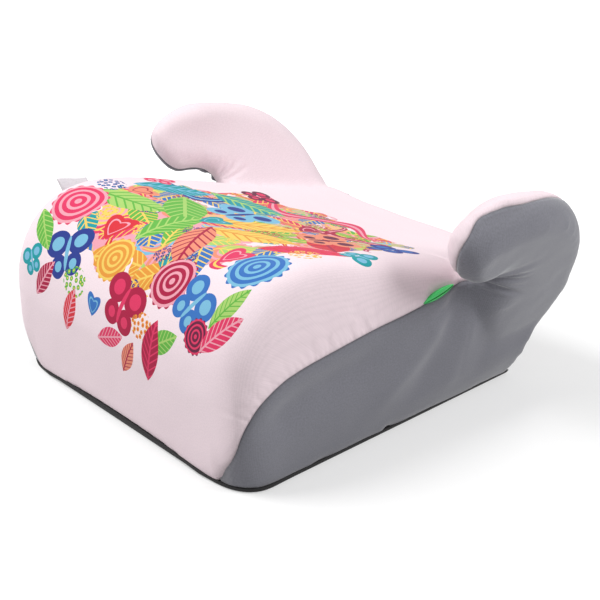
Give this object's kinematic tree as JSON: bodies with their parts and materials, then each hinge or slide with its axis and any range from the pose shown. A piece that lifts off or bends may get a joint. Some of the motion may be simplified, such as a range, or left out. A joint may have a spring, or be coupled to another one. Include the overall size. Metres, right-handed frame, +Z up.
{
  "type": "booster seat",
  "caption": "Backless child booster cushion with a stretch-fabric cover, rounded armrests, belt guides under the armrests and a ribbed moulded base.",
  "frame": {"origin": "bottom centre of the object's bounding box, on the floor plane under the skirt of the base", "axes": "+Z up; the front of the seat faces -Y; +X is the seated child's left"},
  "size_m": [0.4948, 0.4068, 0.2166],
  "materials": {
    "cover_pink": "pale pink printed stretch knit",
    "cover_grey": "mid-grey stretch knit",
    "shell_black": "moulded polypropylene, fine spark texture",
    "core_black": "moulded polypropylene",
    "guide_green": "satin green polypropylene",
    "foam_white": "open-cell polyurethane foam",
    "elastic_black": "woven elastic binding",
    "tab_white": "woven tape, blank",
    "screw_steel": "zinc-plated steel"
  },
  "bodies": {
    "root": {"base_shell": "shell_black", "armrest_core_outer_left": "core_black", "armrest_core_outer_right": "core_black", "armrest_core_inner_left": "core_black", "armrest_core_inner_right": "core_black", "armrest_screws": "screw_steel", "belt_guide_left": "guide_green", "belt_guide_right": "guide_green", "seat_foam": "foam_white", "armrest_foam_left": "foam_white", "armrest_foam_right": "foam_white", "cover_main_panel": "cover_pink", "cover_side_panel_left": "cover_grey", "cover_side_panel_right": "cover_grey", "cover_rear_panel": "cover_grey", "hem_elastic": "elastic_black", "side_label": "tab_white"}
  },
  "joints": []
}
